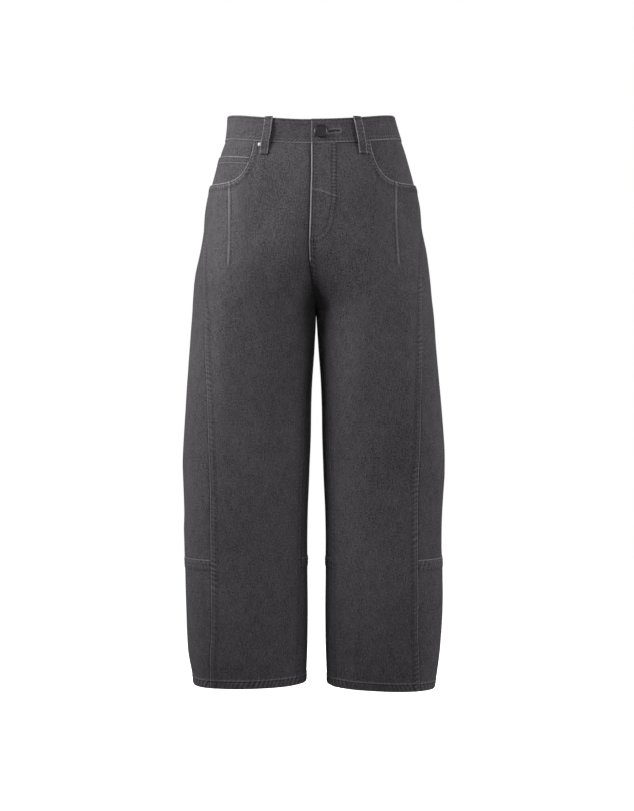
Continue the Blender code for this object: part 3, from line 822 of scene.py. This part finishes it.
for side, word in words.items():
    columns = np.concatenate([
        form["mouthColumn"] * (1 - shares(24, 2.0, 2.0)[::-1] * 0.2)[:-1], mouthColumns(1.0),
    ])
    drops = (mouthDrop(columns) + form["facingUnderlap"]) * shares(62, 1.3, 1.5)[:, None]
    panels[f"pocket_facing_{word}"] = underPanel(
        f"denim_pocket_facing_{word}", side, columns, drops, facingInset(side, columns, drops),
        form["cloth"], plainDress, 5.0 + side * 0.17,
    )
columns = mouthColumns(0.95)
reach = mouthDrop(columns) + form["coinUnderlap"] - form["coinTop"]
drops = form["coinTop"] + reach * shares(40, 0.9, 1.3)[:, None]
panels["coin_pocket"] = underPanel(
    "denim_coin_pocket", right, columns, drops,
    facingInset(right, columns, drops) - form["patchCloth"] - form["layerGap"], form["patchCloth"],
    coinDress, 6.4,
)
print("pocket layers made")


def angleAcross(side, away, height):
    leg = ringAt(side, height)
    halfWidth = np.where(away > leg.across, leg.outerHalf, leg.innerHalf)
    share = np.clip((away - leg.across) / halfWidth, -1, 1)
    return np.degrees(np.arccos(signedPower(share, form["roundness"] / 2)))


shield = {"across": (-14, 32), "top": -36.8, "bottom": -166, "columns": 24, "rows": 66}
away = np.linspace(*shield["across"], shield["columns"])
height = np.linspace(shield["top"], shield["bottom"], shield["rows"])[:, None] + 0 * away
parts = []
for side, wanted in ((right, away < 0), (left, away >= 0)):
    spot = np.maximum(np.abs(away[wanted]), form["gap"] / 2)
    h = height[:, wanted]
    points, normals = clothPoint(side, angleAcross(side, spot + 0 * h, h), h)
    points[..., 0] = ringAt(side, h).centre + away[wanted]
    parts.append(points)
shieldPoints = np.concatenate(parts, 1)
shieldPoints[..., 1] += form["cloth"] + 2 * form["layerGap"]
facingFront = np.zeros(shieldPoints.shape) + (0.0, -1.0, 0.0)
shieldUv = np.stack([shieldPoints[..., 0] + 2100, shieldPoints[..., 2]], -1) * mm
shieldRelief = Relief(height.shape)
panels["fly_shield"] = thicken(
    "denim_fly_shield", shieldPoints, facingFront, shieldRelief.moves(), form["cloth"], shieldUv,
    shieldRelief.marks(),
)


# Waistband: a doubled strip whose left end laps over its right end
def waistbandPlaces():
    turns = shares(372, 1.25, 1.25, 0, 0)
    leftAngle = 90 - 180 * turns[:-1]
    rightAngle = -90 + 180 * turns
    lapAngle = 90 - form["underlapAngle"] * np.linspace(0, 1, 22)[1:]
    shift = form["underlapShift"] * smoothStep(66, 84, rightAngle)
    return [
        (left, leftAngle, 0 * leftAngle),
        (right, rightAngle, shift),
        (left, lapAngle, form["underlapShift"] + 0 * lapAngle),
    ]


bandShares = shares(form["bandHeight"], 0.8, 1.2, 8, 8)[:, None]
pointParts, normalParts = [], []
for side, angle, shift in waistbandPlaces():
    bottom = waistSeam(angle) + form["gap"] / 2
    height = bottom + (form["bandHeight"] - form["gap"] / 2) * (1 - bandShares)
    angles = angle + 0 * height
    points, normals = clothPoint(side, angles, height, form["bandProud"] - shift)
    pointParts.append(points)
    normalParts.append(normals)
bandPoints = np.concatenate(pointParts, 1)
bandNormals = np.concatenate(normalParts, 1)
bandRelief = Relief(bandPoints.shape[:2])
run = arcs(bandPoints, 1)
drop = arcs(bandPoints, 0)
bandRelief.broad += 0.6 * softUnevenness(bandPoints, bandNormals, 7.7)
bandRelief.seam(drop, run, (3.0,), 7.5, 0.0, 5.1, 0.34, 1.1, pale=0.35, dark=0.9)
bandRelief.seam(drop[-1:] - drop, run, (3.4,), 8.0, 0.0, 5.3, 0.34, 2.9, pale=0.75, dark=0.7)
# the buttonhole: a sunken slit with painted shade in it, and a raised, pale worn rim
buttonholeLine = np.array([(23, -18.5), (42, -16.5)], float)
buttonhole, _ = pathDistance(frontView(bandPoints), buttonholeLine)
inFront = bandPoints[..., 1] < 0
bandRelief.shade += 0.95 * np.exp(-((buttonhole / 1.3) ** 2)) * inFront
bandRelief.wear += 0.28 * np.exp(-(((buttonhole - 3.0) / 1.2) ** 2)) * inFront
sewnRim = 0.4 * np.exp(-(((buttonhole - 2.8) / 1.2) ** 2))
bandRelief.fine += (sewnRim - 0.8 * np.exp(-((buttonhole / 1.2) ** 2))) * inFront
# the lapped end's pale fold, with painted shade just beside it
bandRelief.wear += 0.9 * np.exp(-(((run - 0.8) / 1.0) ** 2))
bandRelief.shade += 0.7 * np.exp(-(((run - 3.2) / 0.9) ** 2))
bandRelief.fine -= 0.6 * np.exp(-((run / 0.8) ** 2))
bandUv = np.stack([run, -drop - 900], -1) * mm
panels["waistband"] = thicken(
    "denim_waistband", bandPoints, bandNormals, bandRelief.moves(), form["bandCloth"], bandUv,
    bandRelief.marks(),
)
print("waistband made")


# Belt loops: strips sewn down above and below the waistband, bowed out between.
# A loop's place is its name, side and angle; a standoff is a share of its length and a distance.
loops = {
    "width": 13.0,
    "cloth": 2.0,
    "above": 1.5,
    "below": 20.0,
    "places": [
        ("belt_loop_front_left", left, 61.2),
        ("belt_loop_front_right", right, 63.4),
        ("belt_loop_side_left", left, -38.0),
        ("belt_loop_side_right", right, -38.0),
        ("belt_loop_back", left, -90.0),
    ],
    "standoff": [(0, 1.4), (0.08, 1.5), (0.2, 3.9), (0.45, 4.8), (0.66, 4.2), (0.87, 0.6), (1, 0.6)],
}


def beltLoop(name, side, angle):
    length = form["bandHeight"] + loops["above"] + loops["below"]
    top = waistSeam(angle) + form["bandHeight"] + loops["above"]
    share = shares(length, 0.9, 1.1)[:, None]
    across = loops["width"] * (shares(loops["width"], 0.7, 0.9, 3, 3) - 0.5)
    height = top - length * share + 0 * across
    stations = np.array(loops["standoff"])
    standoff = np.interp(share, stations[:, 0], stations[:, 1])
    middle, normals = clothPoint(side, angle + 0 * height, height, standoff + 0 * height)
    sideways = np.stack([-normals[..., 1], normals[..., 0], 0 * height], -1)
    points = middle + sideways * across[None, :, None] + normals * loops["cloth"]
    relief = Relief(height.shape)
    edge = loops["width"] / 2 - np.abs(across) + 0 * height
    relief.seam(edge, height, (2.1,), 3.4, 0.35, 5.6, 0.14, 3.0 + angle, pale=0.75)
    ends = np.minimum(share, 1 - share) * length
    relief.fine -= 0.5 * np.exp(-((ends / 0.8) ** 2))
    uv = np.stack([across + 0 * height + angle * 3, height], -1) * mm
    return thicken(f"denim_{name}", points, normals, relief.moves(), loops["cloth"], uv, relief.marks())


for name, side, angle in loops["places"]:
    panels[name] = beltLoop(name, side, angle)
print("belt loops made")


# Finishes
class Wire:
    # a socket that can stand in a sum
    def __init__(self, finish, socket):
        self.finish = finish
        self.socket = socket

    def math(self, operation, first, second):
        return self.finish.node("ShaderNodeMath", {"operation": operation}, {0: first, 1: second})

    def __add__(self, other):
        return self.math("ADD", self, other)

    def __radd__(self, other):
        return self.math("ADD", other, self)

    def __sub__(self, other):
        return self.math("SUBTRACT", self, other)

    def __rsub__(self, other):
        return self.math("SUBTRACT", other, self)

    def __mul__(self, other):
        return self.math("MULTIPLY", self, other)

    def __rmul__(self, other):
        return self.math("MULTIPLY", other, self)


class Finish:
    def __init__(self, name):
        self.material = bpy.data.materials.new(name)
        self.material.use_nodes = True
        self.nodes = self.material.node_tree.nodes
        self.links = self.material.node_tree.links
        self.shader = self.nodes["Principled BSDF"]

    def node(self, kind, settings=None, sockets=None, output=0):
        made = self.nodes.new(kind)
        for word, value in (settings or {}).items():
            setattr(made, word, value)
        for place, value in (sockets or {}).items():
            self.put(made.inputs[place], value)
        return Wire(self, made.outputs[output])

    def put(self, socket, value):
        if isinstance(value, Wire):
            self.links.new(value.socket, socket)
        else:
            socket.default_value = value

    def set(self, **values):
        for word, value in values.items():
            self.put(self.shader.inputs[word.replace("_", " ")], value)

    def mixColour(self, factor, first, second, blend="MIX"):
        settings = {"data_type": "RGBA", "blend_type": blend, "clamp_factor": True}
        return self.node("ShaderNodeMix", settings, {0: factor, 6: first, 7: second}, 2)

    def noise(self, place, scale, detail=2.0, rough=0.5):
        sockets = {"Vector": place, "Scale": scale, "Detail": detail, "Roughness": rough}
        return self.node("ShaderNodeTexNoise", {}, sockets)

    def stretch(self, place, x, y, z=1.0):
        return self.node("ShaderNodeVectorMath", {"operation": "MULTIPLY"}, {0: place, 1: (x, y, z)})

    def attribute(self, word):
        return self.node("ShaderNodeAttribute", {"attribute_name": word}, {}, "Fac")

    def clamp(self, value, low=0.0, high=1.0):
        return self.node("ShaderNodeClamp", {}, {0: value, 1: low, 2: high})


denim = {
    "deep": (0.016, 0.0145, 0.0165, 1),
    "light": (0.100, 0.094, 0.102, 1),
    "worn": (0.26, 0.25, 0.26, 1),
    # near-black painted shade, mixed into the cloth where the shade attribute is high
    "paintedShade": (0.006, 0.0055, 0.0065, 1),
}


def washedDenim(name):
    look = Finish(name)
    grain = look.node("ShaderNodeUVMap", {"uv_map": "grain"})
    fleck = look.noise(look.stretch(grain, 520, 360), 1.0, 1.5, 0.6)
    thread = look.noise(look.stretch(grain, 900, 75), 1.0, 2.0, 0.6)
    mottle = look.noise(look.stretch(grain, 85, 40), 1.0, 2.0, 0.5)
    cloudy = look.noise(look.stretch(grain, 9, 5), 1.0, 2.0, 0.5)
    tone = (fleck - 0.5) * 1.5 + (thread - 0.5) * 0.9 + (mottle - 0.5) * 0.35 + (cloudy - 0.5) * 0.4
    shade = look.attribute("shade")
    wear = look.attribute("wear")
    body = look.mixColour(look.clamp(tone + 0.42), denim["deep"], denim["light"])
    worn = look.mixColour(look.clamp(wear * (0.5 + fleck)), body, denim["worn"])
    # painted shade: the shade attribute darkens the cloth towards near-black in stitch grooves, pucker
    # hollows, seam steps, the buttonhole and under laps
    colour = look.mixColour(look.clamp(shade * 0.85), worn, denim["paintedShade"])
    twill = look.node(
        "ShaderNodeTexWave", {"wave_type": "BANDS", "bands_direction": "DIAGONAL", "wave_profile": "SIN"},
        {"Vector": look.stretch(grain, 560, 380), "Scale": 1.0, "Distortion": 0.6, "Detail": 0.0},
    )
    bump = look.node(
        "ShaderNodeBump", {},
        {"Strength": 0.6, "Distance": 0.0005, "Height": twill * 0.4 + fleck * 1.4 + thread},
    )
    look.set(Base_Color=colour, Normal=bump, Roughness=look.clamp(0.88 - wear * 0.1 + shade * 0.05))
    look.set(Sheen_Weight=0.05, Sheen_Roughness=0.5, Specular_IOR_Level=0.18)
    return look.material


def darkMetal(name, colour, roughness):
    look = Finish(name)
    place = look.node("ShaderNodeTexCoord", {}, {}, "Object")
    blotch = look.noise(place, 900.0, 3.0, 0.6)
    pale = tuple(min(c * 2.4, 1) for c in colour[:3]) + (1,)
    look.set(Base_Color=look.mixColour(look.clamp(blotch * 1.4 - 0.35), colour, pale))
    look.set(Roughness=look.clamp(roughness + (blotch - 0.5) * 0.3), Metallic=0.85)
    return look.material


denimFinish = washedDenim("washed denim")
print("finishes made")


# Cut sizes in metres: the width and length that a flat piece fills, its area, and its body
cuts = {
    "waistband": (0.82, 0.040, None, "root"),
    "front": (0.28, 0.93, 0.153, "root"),
    "back_upper": (0.46, 0.69, 0.239, "root"),
    "back_lower": (0.435, 0.215, 0.082, "root"),
    "yoke": (0.208, 0.082, 0.0115, "root"),
    "pocket_facing": (0.205, 0.091, 0.011, "root"),
    "coin_pocket": (0.136, 0.055, 0.0062, "root"),
    "fly_shield": (0.046, 0.13, None, "root"),
    "belt_loop": (0.013, 0.062, None, "root"),
}


def cutOf(node):
    return next(cut for word, cut in cuts.items() if node.startswith(word))


for node, made in panels.items():
    piece = made.piece
    piece.data.materials.append(denimFinish)
    width, length, area, body = cutOf(node)
    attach(piece, body)
    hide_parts(node)

for node, colour, roughness in (
    ("button", (0.02, 0.019, 0.021, 1), 0.42),
    ("rivet_left", (0.1, 0.095, 0.1, 1), 0.38),
    ("rivet_right", (0.1, 0.095, 0.1, 1), 0.38),
):
    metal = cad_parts[node]
    metal.data.materials.clear()
    metal.data.materials.append(darkMetal(f"{node} metal", colour, roughness))


# Floor, light and surroundings; a light's row is its name, place, target, size and power
studio = {
    "floorHeight": -1.35,
    "floorSize": 12.0,
    "white": 1.0,
    "ambient": 0.10,
    "lights": [
        ("key", (-1.25, -0.5, 0.5), (0, 0, -0.35), 0.9, 42.0),
        ("fill", (2.4, -0.9, 0.2), (0, 0, -0.5), 1.8, 60.0),
        ("front", (0.3, -3.0, 0.6), (0, 0, -0.5), 1.5, 20.0),
        ("top", (0.0, -0.1, 1.7), (0, 0, -0.4), 1.2, 10.0),
        ("behind", (0.2, 2.7, 0.6), (0, 0, -0.4), 2.0, 50.0),
    ],
}
bpy.ops.mesh.primitive_plane_add(size=studio["floorSize"], location=(0, 0, studio["floorHeight"]))
floor = bpy.context.active_object
floor.name = "floor"
floorLook = Finish("pale floor")
floorPlace = floorLook.node("ShaderNodeTexCoord", {}, {}, "Object")
cloud = floorLook.noise(floorPlace, 0.8)
floorLook.set(
    Base_Color=floorLook.mixColour(cloud, (0.9, 0.9, 0.9, 1), (0.94, 0.94, 0.94, 1)),
    Emission_Color=(1, 1, 1, 1), Emission_Strength=1.0, Roughness=0.9,
)
floor.data.materials.append(floorLook.material)
floor.visible_diffuse = False
floor.visible_glossy = False

for name, place, target, size, power in studio["lights"]:
    lightData = bpy.data.lights.new(name, "AREA")
    lightData.shape = "DISK"
    lightData.size = size
    lightData.energy = power
    light = bpy.data.objects.new(name, lightData)
    light.location = place
    light.rotation_euler = (Vector(target) - Vector(place)).to_track_quat("-Z", "Y").to_euler()
    bpy.context.scene.collection.objects.link(light)

world = bpy.data.worlds.new("studio")
world.use_nodes = True
bpy.context.scene.world = world
worldNodes, worldLinks = world.node_tree.nodes, world.node_tree.links
back = worldNodes["Background"]
seen = worldNodes.new("ShaderNodeBackground")
seen.inputs["Color"].default_value = (1, 1, 1, 1)
seen.inputs["Strength"].default_value = studio["white"]
back.inputs["Color"].default_value = (1, 1, 1, 1)
back.inputs["Strength"].default_value = studio["ambient"]
path = worldNodes.new("ShaderNodeLightPath")
mixed = worldNodes.new("ShaderNodeMixShader")
worldLinks.new(path.outputs["Is Camera Ray"], mixed.inputs[0])
worldLinks.new(back.outputs[0], mixed.inputs[1])
worldLinks.new(seen.outputs[0], mixed.inputs[2])
worldLinks.new(mixed.outputs[0], worldNodes["World Output"].inputs["Surface"])
print("studio made")

total = sum(len(made.piece.data.polygons) * 2 for made in panels.values())
print("about", total, "triangles in cloth")
